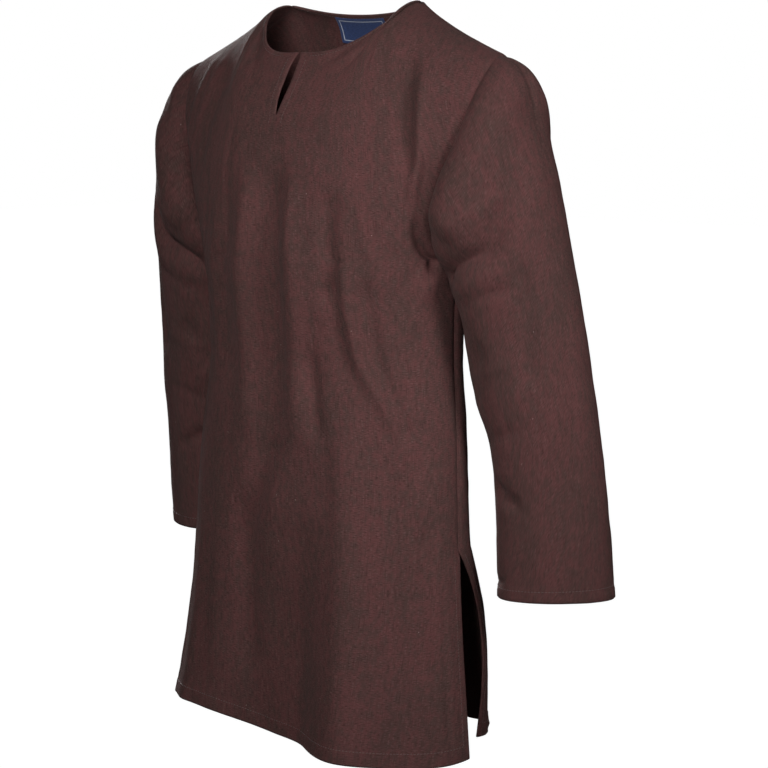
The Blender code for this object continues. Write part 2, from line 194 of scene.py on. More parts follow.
def add_world():
    """An even surround, white to the camera and weaker as a light."""
    world = bpy.data.worlds.new("white_surround")
    world.use_nodes = True
    tree = world.node_tree
    camera_ray = node(tree, "ShaderNodeLightPath", {}, {})
    strength = node(tree, "ShaderNodeMapRange", {}, {"Value": camera_ray, "To Min": FILL_STRENGTH})
    fill(tree.nodes["Background"].inputs, {"Color": WHITE, "Strength": strength})
    bpy.context.scene.world = world
    bpy.context.scene.view_settings.view_transform = "Standard"


add_floor()
add_lamps()
add_world()
print("lamps:", list(LAMPS))

# %% [markdown]
# The cloth is a plain weave of uneven yarn. Three things make it look woven: the threads' own
# relief, slubs, which are thick places drawn out along the warp or the weft, and a dye that has
# taken redder in some yarns and greener in others. Each is a pattern on the cloth's own metres, its
# UV map, and these helpers draw them.

# %% Noise, weave and lint
THREAD = 0.0010
LINT_SPACING = 0.030
LINT_SIZE = 0.0007
LINT_CHANCE = 0.05


def mix_colour(share, first, second):
    """A blend of two colours, by a share that is a Socket."""
    values = {0: share, 6: first, 7: second}
    return node(share.tree, "ShaderNodeMix", {"data_type": "RGBA"}, values, output=2)


def stretched_noise(place, scale, detail=3.0, shift=(0.0, 0.0, 0.0)):
    """Noise on a place in metres, drawn out the most where its scale is the smallest."""
    drawn = {"Vector": place, "Scale": scale, "Location": shift}
    drawn = node(place.tree, "ShaderNodeMapping", {}, drawn)
    return node(place.tree, "ShaderNodeTexNoise", {}, {"Vector": drawn, "Scale": 1.0, "Detail": detail})


def weave_relief(place):
    """A plain weave: each thread rises over one neighbour and dips under the next."""
    right = node(place.tree, "ShaderNodeSeparateXYZ", {}, {0: place})
    across = right * (math.pi / THREAD)
    along = right.beside(1) * (math.pi / THREAD)
    warp = across.math("SINE").math("ABSOLUTE")
    weft = along.math("SINE").math("ABSOLUTE")
    over = (across.math("COSINE") * along.math("COSINE")).step(-0.4, 0.4)
    return warp * over + weft * (1.0 - over)


def lint_specks(place):
    """A few tiny pale specks, one here and there."""
    from_speck = node(place.tree, "ShaderNodeTexVoronoi", {"voronoi_dimensions": "2D"},
                      {"Vector": place, "Scale": 1.0 / LINT_SPACING})
    chance = node(place.tree, "ShaderNodeSeparateColor", {}, {"Color": from_speck.beside("Color")})
    size = LINT_SIZE / LINT_SPACING
    return from_speck.step(size, size * 0.6) * chance.math("GREATER_THAN", 1.0 - LINT_CHANCE)


print("threads a centimetre:", round(0.01 / THREAD))

# %% [markdown]
# The brown material lays those patterns over each other, from the dye up to the lint. A little
# sheen stands for the brushed nap, and the worn edges are a shade lighter.

# %% The brown cloth
RED_BROWN = (0.0940, 0.0370, 0.0360, 1.0)
GREEN_BROWN = (0.0620, 0.0335, 0.0300, 1.0)
DARK_YARN = (0.0240, 0.0110, 0.0105, 1.0)
LIGHT_YARN = (0.1500, 0.0850, 0.0800, 1.0)
LINT = (0.26, 0.20, 0.19, 1.0)
NAP_TINT = (1.0, 0.80, 0.76, 1.0)
WARP_SLUB_SCALE = (700.0, 45.0, 1.0)
WEFT_SLUB_SCALE = (210.0, 900.0, 1.0)
DYE_SCALE = (150.0, 90.0, 1.0)
BAND_SCALE = (30.0, 9.0, 1.0)
DARK_WEFT_SHARE = 0.55
DARK_WARP_SHARE = 0.30
LIGHT_SLUB_SHARE = 0.40
WORN_SHARE = 0.08
LINT_STRENGTH = 0.8
WEAVE_DEPTH = 0.0007


def brown_cloth():
    """The tunic's cloth."""
    material, tree, shader = new_material("woven_brown")
    place = node(tree, "ShaderNodeUVMap", {"uv_map": "cloth"}, {})
    wear = node(tree, "ShaderNodeAttribute", {"attribute_name": "wear"}, {}, output=2)
    warp_slub = stretched_noise(place, WARP_SLUB_SCALE)
    weft_slub = stretched_noise(place, WEFT_SLUB_SCALE, shift=(3.1, 7.7, 0.0))
    dye = stretched_noise(place, DYE_SCALE, shift=(11.0, 2.0, 0.0))
    bands = stretched_noise(place, BAND_SCALE, detail=2.0, shift=(5.0, 5.0, 0.0))
    slub = warp_slub * 0.35 + weft_slub * 0.65
    base = mix_colour((dye * 0.60 + bands * 0.40).step(0.35, 0.65), GREEN_BROWN, RED_BROWN)
    base = mix_colour(weft_slub.step(0.46, 0.32) * DARK_WEFT_SHARE, base, DARK_YARN)
    base = mix_colour(warp_slub.step(0.42, 0.32) * DARK_WARP_SHARE, base, DARK_YARN)
    base = mix_colour(slub.step(0.52, 0.66) * LIGHT_SLUB_SHARE, base, LIGHT_YARN)
    base = mix_colour(wear * WORN_SHARE, base, LIGHT_YARN)
    base = mix_colour(lint_specks(place) * LINT_STRENGTH, base, LINT)
    height = weave_relief(place) * 0.3 + slub * 1.1 + dye * 0.2
    bump = node(tree, "ShaderNodeBump", {}, {"Height": height, "Strength": 0.7, "Distance": WEAVE_DEPTH})
    fill(shader, {"Base Color": base, "Roughness": 0.80 + slub * 0.22, "Normal": bump})
    fill(shader, {"Sheen Weight": 0.03, "Sheen Roughness": 0.40, "Sheen Tint": NAP_TINT})
    fill(shader, {"Specular IOR Level": 0.12})
    return material


BROWN = brown_cloth()
print("material:", BROWN.name)

# %% [markdown]
# The label is a dense woven ribbon, dark blue with a thin pale line woven in near its edges. It
# carries nothing else. The sewing thread is about as dark as the cloth and a little shinier.

# %% The blue label and the thread
LABEL_WIDTH = 0.076
LABEL_HEIGHT = 0.036
BORDER_INSET = 0.0042
BORDER_LINE = 0.0007
BLUE = (0.0300, 0.0560, 0.1700, 1.0)
BLUE_SHADE = (0.0170, 0.0320, 0.0900, 1.0)
PALE_THREAD = (0.55, 0.58, 0.66, 1.0)
SEWING_DARK = (0.030, 0.015, 0.014, 1.0)
SEWING_LIGHT = (0.078, 0.040, 0.038, 1.0)
RIBBON_THREAD = 0.0005
RIBBON_DEPTH = 0.0003
PICK_SCALE = (300.0, 1500.0, 1.0)
TWIST_SCALE = (900.0, 900.0, 900.0)


def blue_label():
    """The woven label, on metres from its middle."""
    material, tree, shader = new_material("woven_blue")
    place = node(tree, "ShaderNodeUVMap", {"uv_map": "cloth"}, {})
    across = node(tree, "ShaderNodeSeparateXYZ", {}, {0: place})
    beyond_side = across.math("ABSOLUTE") - (LABEL_WIDTH / 2 - BORDER_INSET)
    beyond_end = across.beside(1).math("ABSOLUTE") - (LABEL_HEIGHT / 2 - BORDER_INSET)
    from_line = beyond_side.math("MAXIMUM", beyond_end).math("ABSOLUTE")
    line = from_line.step(BORDER_LINE, BORDER_LINE * 0.5)
    ribs = (across * (math.pi / RIBBON_THREAD)).math("SINE").math("ABSOLUTE")
    picks = stretched_noise(place, PICK_SCALE, detail=1.0)
    base = mix_colour(picks.step(0.35, 0.65), BLUE_SHADE, BLUE)
    base = mix_colour(line * (0.55 + 0.45 * ribs), base, PALE_THREAD)
    height = ribs * 0.4 + picks * 0.6 + line * 0.8
    bump = node(tree, "ShaderNodeBump", {}, {"Height": height, "Strength": 0.5, "Distance": RIBBON_DEPTH})
    fill(shader, {"Base Color": base, "Roughness": 0.62 - line * 0.12, "Normal": bump})
    fill(shader, {"Sheen Weight": 0.15})
    return material


def brown_thread():
    """Twisted polyester thread."""
    material, tree, shader = new_material("brown_thread")
    place = node(tree, "ShaderNodeTexCoord", {}, {}, output=3)
    twist = stretched_noise(place, TWIST_SCALE, detail=1.0)
    base = mix_colour(twist.step(0.35, 0.65), SEWING_DARK, SEWING_LIGHT)
    fill(shader, {"Base Color": base, "Roughness": 0.45 + twist * 0.2, "Sheen Weight": 0.2})
    return material


LABEL_BLUE = blue_label()
THREAD_BROWN = brown_thread()
print("materials:", LABEL_BLUE.name, THREAD_BROWN.name)

# %% [markdown]
# Everything round on the tunic is worked out, not drawn: a smooth curve runs through each table's
# rows, and a section is a quarter turn on a rounded square.

# %% Curves
def flow(at, knots, values):
    """Values at the places asked for, on a smooth curve through a table's rows."""
    knots = np.asarray(knots, float)
    values = np.asarray(values, float)
    slopes = np.gradient(values, knots, axis=0)
    at = np.asarray(at, float)
    row = np.clip(np.searchsorted(knots, at) - 1, 0, len(knots) - 2)
    step = (knots[row + 1] - knots[row])[..., None]
    part = (at - knots[row])[..., None] / step
    start = values[row] * (2 * part**3 - 3 * part**2 + 1)
    end = values[row + 1] * (3 * part**2 - 2 * part**3)
    leave = slopes[row] * step * (part**3 - 2 * part**2 + part)
    arrive = slopes[row + 1] * step * (part**3 - part**2)
    return start + end + leave + arrive


def ease(part):
    """A soft step from 0 to 1."""
    part = np.clip(part, 0.0, 1.0)
    return part * part * (3.0 - 2.0 * part)


def rounded(turn, fullness):
    """Sine and cosine of a turn on a rounded square, which an ellipse is with fullness 2."""
    power = 2.0 / fullness
    sine = np.sin(turn)
    cosine = np.cos(turn)
    return np.sign(sine) * np.abs(sine)**power, np.sign(cosine) * np.abs(cosine)**power


print("half way up a soft step:", float(ease(0.5)))

# %% [markdown]
# Grids of points run up the cloth in rows, with columns towards +X, so that a face drawn round four
# neighbours points outwards. These helpers measure along such a grid, or along one line of points,
# and move points in and out of the cloth.

# %% Directions and lengths
def unit(vectors):
    """The vectors, each with length 1."""
    return vectors / np.linalg.norm(vectors, axis=-1, keepdims=True)


def moved(points, directions, distances):
    """The points, each moved along its own direction by its own distance."""
    return points + directions * distances[..., None]


def outward(points, wrap=False):
    """Outward directions of a grid of points, seen from the front: rows up, columns to +X."""
    if wrap:
        across = np.roll(points, -1, axis=1) - np.roll(points, 1, axis=1)
    else:
        across = np.gradient(points, axis=1)
    return unit(np.cross(across, np.gradient(points, axis=0)))


def travelled(points, axis):
    """How far along the cloth each point of a grid lies from the grid's first row or column."""
    steps = np.linalg.norm(np.diff(points, axis=axis), axis=2)
    start = np.zeros((1, points.shape[1])) if axis == 0 else np.zeros((points.shape[0], 1))
    return np.concatenate([start, np.cumsum(steps, axis=axis)], axis=axis)


def run_length(line):
    """How far along a line of points each of them lies."""
    return np.concatenate([[0.0], np.cumsum(np.linalg.norm(np.diff(line, axis=0), axis=1))])


def along_line(at, length, values):
    """Values at places along a line, read between its points."""
    return np.stack([np.interp(at, length, column) for column in np.transpose(values)], axis=-1)


print("a diagonal's length:", round(float(run_length([(0.0, 0.0, 0.0), (1.0, 1.0, 1.0)])[-1]), 3))

# %% [markdown]
# The shell repeats the solids' own sizes, because it has to lie where they lie: the same sections
# of the body, the same hems and the same rings of the sleeve. Only the grids are finer. The rows of
# a table are easier to read in millimetres, so each table is turned into metres as it is made.

# %% The body's sections and hems
HALF_CUT = 0.27
HEM = -0.900
SIDE_SLIT_TOP = -0.652
UNDERARM = -0.300
SLIT_SPREAD_IN = 0.057
SLIT_SPREAD_BACK = 0.092
SLIT_SPREAD_POWER = 2.6
FRONT_FULLNESS = 2.3
BACK_FULLNESS = 2.2


def table(kind, rows):
    """A table's rows, from millimetres to metres."""
    return [kind(*[value / 1000 for value in row]) for row in rows]


Section = namedtuple("Section", "height side_x side_y front_y back_y")
TORSO = table(Section, [
    (-910, 236, -11, -113, 175),
    (-850, 226, -4, -105, 158),
    (-750, 212, 4, -94, 130),
    (-652, 203, 10, -93, 108),
    (-560, 197, 15, -91, 107),
    (-500, 190, 22, -91, 106),
    (-420, 180, 30, -91, 108),
    (-360, 180, 31, -99, 120),
    (-300, 186, 30, -105, 132),
    (-240, 190, 30, -105, 134),
])
Hem = namedtuple("Hem", "across front back")
HEMS = table(Hem, [
    (-270, -887, -900),
    (-170, -874, -904),
    (-90, -875, -899),
    (-20, -886, -895),
    (50, -900, -899),
    (120, -904, -904),
    (200, -902, -903),
    (270, -898, -900),
])


def section(across, height, is_front, cut=0.0):
    """Points of a half section of the body, less a part of its depth that the armhole takes."""
    heights = [row.height for row in TORSO]
    side_x, side_y, front_y, back_y = flow(height, heights, [row[1:] for row in TORSO]).T
    if is_front:
        centre_y = front_y
        fullness = FRONT_FULLNESS
    else:
        open_part = np.clip((SIDE_SLIT_TOP - height) / (SIDE_SLIT_TOP - HEM), 0.0, 1.0)
        side_x = side_x - SLIT_SPREAD_IN * open_part
        side_y = side_y + SLIT_SPREAD_BACK * (1.0 - (1.0 - open_part)**SLIT_SPREAD_POWER)
        centre_y = back_y
        fullness = BACK_FULLNESS
    last_turn = np.arccos(cut**(fullness / 2))
    sine, cosine = rounded(across * last_turn, fullness)
    x = side_x * sine / rounded(last_turn, fullness)[0]
    y = side_y + (centre_y - side_y) * cosine
    return np.stack([x, y, height], axis=-1)


print("sections:", len(TORSO), "places along the hems:", len(HEMS))

# %% [markdown]
# Above the underarm the section shrinks over the shoulder to the neckline and the shoulder seam,
# less what the armhole takes. The neckline is a rounded curve in plan, and the seam sags a little
# between the neck and the shoulder's point.

# %% The neckline, the shoulders and the yoke
NECK_HALF_WIDTH = 0.105
NECK_SEAM_Y = 0.059
NECK_SEAM_Z = 0.007
SHOULDER_HALF_WIDTH = 0.233
SHOULDER_Y = 0.052
SHOULDER_Z = -0.0575
SHOULDER_SAG = 0.005
SAG_POWER = 0.7
FRONT_NECK_Y = -0.046
BACK_NECK_Y = 0.083
FRONT_NECK_SQUARENESS = 3.0
BACK_NECK_SQUARENESS = 2.0
NECK_SHARE = 0.50
NECK_STEPS = 200
YOKE_FULLNESS = 2.15
YOKE_POWER = 0.8
ARMHOLE_CUT_FRONT = 0.48
ARMHOLE_CUT_BACK = 0.66
ARMHOLE_TURN = 10
ARMHOLE_OUTWARD = 0.012
ARMHOLE_REACH = 6


def top_edge(reach, is_front):
    """The neckline and the shoulder seam: where each ends, and the shoulder's ridge."""
    turn = np.linspace(0.0, math.pi / 2, NECK_STEPS)
    neck_y = FRONT_NECK_Y if is_front else BACK_NECK_Y
    sine, cosine = rounded(turn, FRONT_NECK_SQUARENESS if is_front else BACK_NECK_SQUARENESS)
    plan = np.stack([NECK_HALF_WIDTH * sine, NECK_SEAM_Y + (neck_y - NECK_SEAM_Y) * cosine], axis=1)
    length = run_length(plan)
    wanted = np.clip(reach / NECK_SHARE, 0.0, 1.0) * length[-1]
    neck_x, neck_line_y = along_line(wanted, length, plan).T
    part = np.clip((reach - NECK_SHARE) / (1.0 - NECK_SHARE), 0.0, 1.0)
    seam_x = NECK_HALF_WIDTH + (SHOULDER_HALF_WIDTH - NECK_HALF_WIDTH) * part
    ridge_y = NECK_SEAM_Y + (SHOULDER_Y - NECK_SEAM_Y) * part
    ridge_z = NECK_SEAM_Z + (SHOULDER_Z - NECK_SEAM_Z) * part
    ridge_z -= SHOULDER_SAG * np.sin(math.pi * part**SAG_POWER)
    on_seam = reach > NECK_SHARE
    return np.where(on_seam, seam_x, neck_x), np.where(on_seam, ridge_y, neck_line_y), ridge_y, ridge_z


def yoke(across, rise, is_front):
    """Points above the underarm: rise goes from 0 there to 1 at the neckline or shoulder."""
    reach = np.abs(across)
    cut = ARMHOLE_CUT_FRONT if is_front else ARMHOLE_CUT_BACK
    cut = cut * np.sqrt(1.0 - (1.0 - rise)**ARMHOLE_TURN)
    chest = section(reach, np.full_like(reach, UNDERARM), is_front, cut)
    top_x, top_y, ridge_y, ridge_z = top_edge(reach, is_front)
    share = np.clip((ridge_y - top_y) / (ridge_y - chest[:, 1]), 0.0, 1.0)
    last_turn = np.arccos(share**(YOKE_FULLNESS / 2))
    sine, cosine = rounded(rise * last_turn, YOKE_FULLNESS)
    x = chest[:, 0] + (top_x - chest[:, 0]) * ease(rise**YOKE_POWER)
    x += ARMHOLE_OUTWARD * np.sin(math.pi * rise) * reach**ARMHOLE_REACH
    y = ridge_y + (chest[:, 1] - ridge_y) * cosine
    z = UNDERARM + (ridge_z - UNDERARM) * sine
    return np.stack([np.sign(across) * x, y, z], axis=-1)


print("neckline:", 2 * NECK_HALF_WIDTH, "m wide, shoulders:", 2 * SHOULDER_HALF_WIDTH, "m")

# %% [markdown]
# The front and the back are panels. Rows and columns lie closer together by the hems, where the
# turned edge needs them. The folds that run from the neckline and from the slit's lower end draw
# the front aside a little, which each row of a small table says.

# %% Rows and columns of a panel
HEM_DEPTH = 0.018
HEM_ROWS = 9
SLIT_HEM = 0.011
SLIT_COLUMNS = 5
NECK_HEM = 0.008
NECK_ROWS = 5
NECK_BAND = 0.030
RISE_POWER = 1.4
Pull = namedtuple("Pull", "across depth width reach shift")
NECK_PULLS = [
    Pull(0.30, 0.0, 0.11, 0.035, 0.011),
    Pull(-0.27, 0.0, 0.11, 0.035, 0.008),
    Pull(-0.01, 0.085, 0.16, 0.040, -0.007),
]


def panel_columns(count):
    """Places across a panel from -1 to 1, closer together at the two edges."""
    edge = SLIT_HEM / HALF_CUT
    inside = np.linspace(-1.0 + edge, 1.0 - edge, count - 2 * SLIT_COLUMNS + 1)
    left = np.linspace(-1.0, -1.0 + edge, SLIT_COLUMNS + 1)[:-1]
    return np.concatenate([left, inside, -left[::-1]])


def panel_rises(count):
    """Places up the yoke from 0 to 1, closer together at the neckline."""
    below = np.linspace(0.0, 1.0, count - NECK_ROWS + 1)[1:]**RISE_POWER * (1.0 - NECK_BAND)
    above = np.linspace(1.0 - NECK_BAND, 1.0, NECK_ROWS + 1)[1:]
    return np.concatenate([below, above])


def aside(across, from_top):
    """How far the front is drawn to one side, round the neckline and at the slit's bottom."""
    shift = np.zeros_like(from_top)
    for pull in NECK_PULLS:
        sideways = np.exp(-((across - pull.across) / pull.width)**2)
        shift += pull.shift * sideways * np.exp(-((from_top - pull.depth) / pull.reach)**2)
    return shift


def panel_points(across, rises, skirt_rows, is_front):
    """A panel's smooth points, from the hem up."""
    hems = flow(across * HALF_CUT, [row.across for row in HEMS], [row[1:] for row in HEMS])
    hem = hems[:, 0] if is_front else hems[:, 1]
    band = HEM_DEPTH / (UNDERARM - HEM)
    climb = np.concatenate([np.linspace(0.0, band, HEM_ROWS + 1)[:-1],
                            np.linspace(band, 1.0, skirt_rows - HEM_ROWS + 1)])
    rows = [section(across, hem + (UNDERARM - hem) * part, is_front) for part in climb]
    rows += [yoke(across, np.full_like(across, rise), is_front) for rise in rises]
    points = np.array(rows)
    if is_front:
        points[:, :, 0] += aside(across, travelled(points[::-1], 0)[::-1])
    return points


print("columns by the slit:", SLIT_COLUMNS, "rows in the hem:", HEM_ROWS)

# %% [markdown]
# A crease is a row in a table: where its two ends lie on the flat cloth, how wide it is and how
# far it lifts, with a minus for a trough. The first table of each piece holds the large folds, which
# lie as in the solids or close to them. The second holds the smaller ones, and deepens the large
# ones where the photograph does. On the hidden sides they are listed as well, and as uneven.

# %% Folds and creases
Fold = namedtuple("Fold", "across_top top across_bottom bottom width lift_top lift_bottom")
FRONT_FOLDS = table(Fold, [
    (-15, -600, -22, -980, 50, 0, -34),
    (84, -500, 78, -980, 40, 4, 25),
    (180, -60, 221, -190, 12, -5, -7),
    (205, -85, 238, -260, 12, 4, 8),
    (246, -180, 222, -315, 10, -7, -9),
    (2, -210, -9, -530, 14, -5, -6),
    (-9, -530, -46, -660, 14, -6, -4),
    (-36, -220, -45, -500, 15, 4, 5),
    (24, -220, 14, -500, 14, 4, 4),
    (82, -225, 70, -350, 12, -6, -6),
    (88, -300, 104, -415, 12, 5, 8),
    (104, -415, 158, -500, 12, 8, 5),
    (76, -330, 90, -430, 12, -3, -4),
    (122, -330, 134, -430, 12, -4, -6),
    (134, -430, 176, -510, 12, -6, -4),
    (38, -420, 47, -510, 10, -3, -4),
    (-203, -60, -250, -170, 13, 6, 6),
    (18, -730, 17, -980, 13, -3, -6),
    (202, -620, 190, -800, 16, -6, -6),
    (-47, -600, -38, -820, 15, -6, -6),
    (-130, -640, -135, -980, 20, 3, 6),
])
FRONT_CREASES = table(Fold, [
    (172, -48, 196, -123, 9, -5.5, -7.5),
    (196, -123, 218, -200, 9, -7.5, -3),
    (204, -85, 234, -200, 8, 3.5, 4),
    (2, -200, -3, -360, 20, -5, -6),
    (-3, -360, -14, -540, 22, -6, -5),
    (30, -215, 20, -500, 15, 3, 4),
    (-36, -200, -44, -430, 14, 3, 2.5),
    (-72, -230, -85, -440, 14, -4, -3),
    (100, -225, 72, -345, 11, -4, -3),
    (40, -410, 48, -515, 8, -2.5, -2.5),
    (84, -480, 78, -930, 26, 4, 5),
    (160, -520, 170, -930, 34, -3, -7),
    (22, -620, 20, -930, 24, -3, -4),
    (-20, -540, -42, -700, 18, -4, -4),
    (-180, -60, -205, -125, 10, 3.5, 4),
    (-205, -125, -236, -180, 10, 4, 3),
    (-150, -70, -190, -190, 14, -3.5, -4),
    (-78, -30, -52, -75, 7, -3.5, -1.2),
    (-60, -18, -40, -52, 6, 2.8, 1),
    (50, -52, 22, -76, 3.5, -2.2, -0.8),
    (66, -50, 40, -74, 3.5, 1.8, 0.6),
    (80, -50, 58, -78, 4, -2.2, -0.8),
    (131, -46, 112, -80, 4.5, -2.2, -0.8),
    (118, -38, 150, -110, 6, 2.2, 0.8),
    (134, -28, 168, -120, 6, -2.6, -1.2),
    (-60, -46, -95, -85, 5, -1.8, -0.5),
    (-100, -36, -140, -100, 6, -2.2, -0.8),
    (12, -135, 30, -230, 7, 1.2, 0.6),
    (-70, -150, -85, -330, 8, -1.6, -1.2),
    (-105, -240, -112, -430, 9, 1.6, 1.4),
    (-150, -200, -140, -380, 8, -2, -1.2),
    (-190, -300, -150, -360, 6, -2.2, -0.8),
    (-205, -330, -165, -420, 7, 1.8, 0.8),
    (140, -230, 128, -380, 8, 1.8, 1.2),
    (205, -300, 160, -350, 6, -2.2, -0.8),
    (215, -330, 175, -400, 6, 1.8, 0.6),
    (190, -480, 205, -640, 9, -1.8, -1.4),
    (60, -520, 62, -700, 10, -1.4, -1.2),
    (140, -540, 150, -860, 12, -1.6, -2.2),
    (-95, -560, -88, -800, 11, 1.4, 1.8),
    (-180, -560, -185, -870, 12, -1.6, -2.2),
    (230, -700, 228, -890, 8, -1.6, -2),
    (-225, -690, -228, -880, 8, 1.4, 1.8),
])
BACK_FOLDS = table(Fold, [
    (-60, -240, -48, -600, 18, -6, -8),
    (75, -300, 92, -630, 17, -5, -8),
    (10, -330, 22, -560, 16, 5, 6),
    (200, -230, 150, -420, 15, -7, -5),
    (-205, -220, -150, -440, 15, -8, -5),
    (125, -600, 140, -980, 30, 3, 14),
    (-105, -610, -125, -980, 32, 3, 15),
    (8, -620, 15, -980, 28, -3, -14),
    (-190, -60, -215, -160, 14, 5, 5),
    (195, -60, 222, -170, 14, 5, 5),
])
BACK_CREASES = table(Fold, [
    (-25, -60, -60, -150, 8, 1.4, 0.6),
    (60, -60, 95, -170, 9, -1.6, -0.8),
    (-110, -90, -150, -220, 9, -2.2, -1),
    (120, -100, 160, -240, 9, 1.8, 0.8),
    (215, -310, 165, -350, 6, -2.4, -0.8),
    (-215, -305, -160, -345, 6, -2.4, -1),
    (-200, -340, -140, -400, 8, 2, 0.8),
    (200, -345, 150, -410, 8, 2, 0.8),
    (-120, -460, -40, -510, 8, -2, -1),
    (130, -470, 60, -530, 8, -2, -0.8),
    (-20, -400, -12, -540, 8, -1.8, -1.2),
    (40, -500, 48, -720, 11, 1.6, 1.8),
    (-160, -520, -175, -830, 12, -1.8, -2.6),
    (180, -540, 190, -860, 12, -1.8, -2.4),
    (-60, -640, -62, -880, 12, -1.6, -2.6),
    (75, -700, 78, -890, 12, 1.6, 2.2),
])
SLEEVE_FOLDS = table(Fold, [
    (70, -130, 165, -255, 24, 5, 14),
    (60, -195, 128, -289, 12, -4, -14),
    (128, -289, 215, -322, 11, -14, -13),
    (90, -310, 122, -440, 12, -5, -5),
    (235, -572, 172, -592, 11, -9, -4),
    (180, -400, 225, -470, 14, -5, -4),
    (420, -180, 340, -290, 18, -5, -9),
    (400, -340, 320, -400, 15, -5, -7),
    (410, -470, 340, -530, 15, -5, -5),
])
SLEEVE_CREASES = table(Fold, [
    (30, -85, 100, -150, 6, -3.2, -2.4),
    (44, -90, 112, -165, 6, 2.8, 2),
    (60, -110, 125, -185, 7, -2.4, -1.8),
    (75, -215, 190, -285, 7, 2.6, 1.8),
    (110, -330, 205, -355, 8, -2.6, -1.6),
    (60, -360, 85, -520, 10, -1.8, -1.4),
    (140, -420, 215, -440, 8, 2.2, 1.6),
    (160, -500, 235, -520, 7, -2.4, -1.6),
    (85, -560, 100, -680, 9, 1.4, 1),
    (215, -686, 262, -692, 5, -4.5, -4.5),
    (330, -230, 260, -300, 8, 2.4, 1.6),
    (380, -290, 290, -350, 8, 2.2, 1.4),
    (430, -400, 330, -460, 9, 2.4, 1.6),
    (300, -560, 380, -620, 9, -2.2, -1.4),
    (440, -600, 420, -690, 9, 1.4, 1),
])
print("folds:", len(FRONT_FOLDS) + len(BACK_FOLDS) + len(SLEEVE_FOLDS),
      "creases:", len(FRONT_CREASES) + len(BACK_CREASES) + len(SLEEVE_CREASES))

# %% [markdown]
# Each fold is a soft ridge or trough that fades out at its ends. Between the folds cloth is never
# quite smooth. Three layers of slow noise, from a hand wide to a finger wide, push the surface in
# and out by about a millimetre, so that the light breaks up as it does on a real garment. The noise
# is read at each point's own place, so it is the same on every run.

# %% Folds and slow unevenness as lifts
FOLD_TAPER = 0.25
Wobble = namedtuple("Wobble", "scale depth")
WOBBLES = [Wobble(9.0, 0.0016), Wobble(24.0, 0.0008), Wobble(60.0, 0.0003)]


def fold_lift(across, height, folds):
    """How far the folds of a table lift the cloth at each place."""
    lift = np.zeros(np.broadcast(across, height).shape)
    for fold in folds:
        run = np.array([fold.across_bottom - fold.across_top, fold.bottom - fold.top])
        length = np.hypot(*run)
        along = ((across - fold.across_top) * run[0] + (height - fold.top) * run[1]) / length**2
        off = ((across - fold.across_top) * run[1] - (height - fold.top) * run[0]) / length
        ends = ease(along / FOLD_TAPER + 0.5) * ease((1 - along) / FOLD_TAPER + 0.5)
        crest = fold.lift_top + (fold.lift_bottom - fold.lift_top) * np.clip(along, 0.0, 1.0)
        lift += crest * np.exp(-(off / fold.width)**2) * ends
    return lift


def wobble(points):
    """A small lift at each point, from slow noise at three sizes."""
    flat = points.reshape(-1, 3)
    lift = np.zeros(len(flat))
    for layer in WOBBLES:
        lift += layer.depth * np.array([noise.noise(Vector(point) * layer.scale) for point in flat])
    return lift.reshape(points.shape[:2])


print("unevenness at the chest:", round(float(wobble(np.array([[[0.0, -0.1, -0.2]]]))[0, 0]), 5))

# %% [markdown]
# A hem is the cloth folded over once and stitched, so it is a little thicker, and the stitches pull
# a shallow groove along it. At a seam the two panels turn in towards each other, and the armhole's
# seam sinks deepest near the underarm, where the sleeve's fullness is drawn in. All are small lifts
# that depend on how far a point lies from the edge of its panel and on how high it lies.

# %% Hems and seams as small lifts
CLOTH = 0.0014
HEM_EXTRA = 0.0007
GROOVE = 0.0006
GROOVE_WIDTH = 0.0016
HEM_STEP = 0.002
STITCH_INSET = 0.001
SEAM_DIP = 0.0016
SEAM_WIDTH = 0.0045
TUCK = 0.0065
TUCK_WIDTH = 0.011
TUCK_TOP = -0.12
TUCK_GROWTH = 0.08
TUCK_BOTTOM = -0.35
TUCK_END = 0.04
SLIT_BLEND = 0.006
NECK_BLEND = 0.02
SEAM_BLEND = 0.10
WEAR_WIDTH = 0.0022


def hem_lift(distance, depth):
    """The turned edge's extra thickness, with the groove that its stitches pull."""
    thick = HEM_EXTRA * ease((depth - distance) / HEM_STEP)
    groove = GROOVE * np.exp(-((distance - depth + STITCH_INSET) / GROOVE_WIDTH)**2)
    return thick - groove


def seam_dip(distance):
    """How far the cloth turns in towards a seam."""
    return -SEAM_DIP * np.exp(-(distance / SEAM_WIDTH)**2)


def tuck(height):
    """How deep the armhole seam sinks between body and sleeve, most at the underarm."""
    return TUCK * ease((TUCK_TOP - height) / TUCK_GROWTH) * ease((height - TUCK_BOTTOM) / TUCK_END)


def panel_edges(points, across):
    """Lift and wear at a panel's hem, slit edges, neckline and seams."""
    from_hem = travelled(points, 0)
    from_top = from_hem[-1] - from_hem
    from_right = travelled(points, 1)
    from_side = np.minimum(from_right, from_right[:, -1:] - from_right)
    reach = np.abs(across)[None, :]
    in_slit = ease((SIDE_SLIT_TOP - points[:, :, 2]) / SLIT_BLEND)
    on_neck = ease((NECK_SHARE - reach) / NECK_BLEND) * np.ones_like(from_hem)
    lift = hem_lift(from_hem, HEM_DEPTH)
    lift = np.maximum(lift, hem_lift(from_side, SLIT_HEM) * in_slit)
    lift += hem_lift(from_top, NECK_HEM) * on_neck
    past_neck = ease((reach - NECK_SHARE) / SEAM_BLEND)
    lift += seam_dip(from_side) * (1.0 - in_slit) + seam_dip(from_top) * past_neck
    lift -= tuck(points[:, :, 2]) * np.exp(-(from_side / TUCK_WIDTH)**2)
    edge = np.minimum(from_hem, np.where(in_slit > 0.5, from_side, 1.0))
    edge = np.minimum(edge, np.where(on_neck > 0.5, from_top, 1.0))
    return lift, np.exp(-(edge / WEAR_WIDTH)**2)


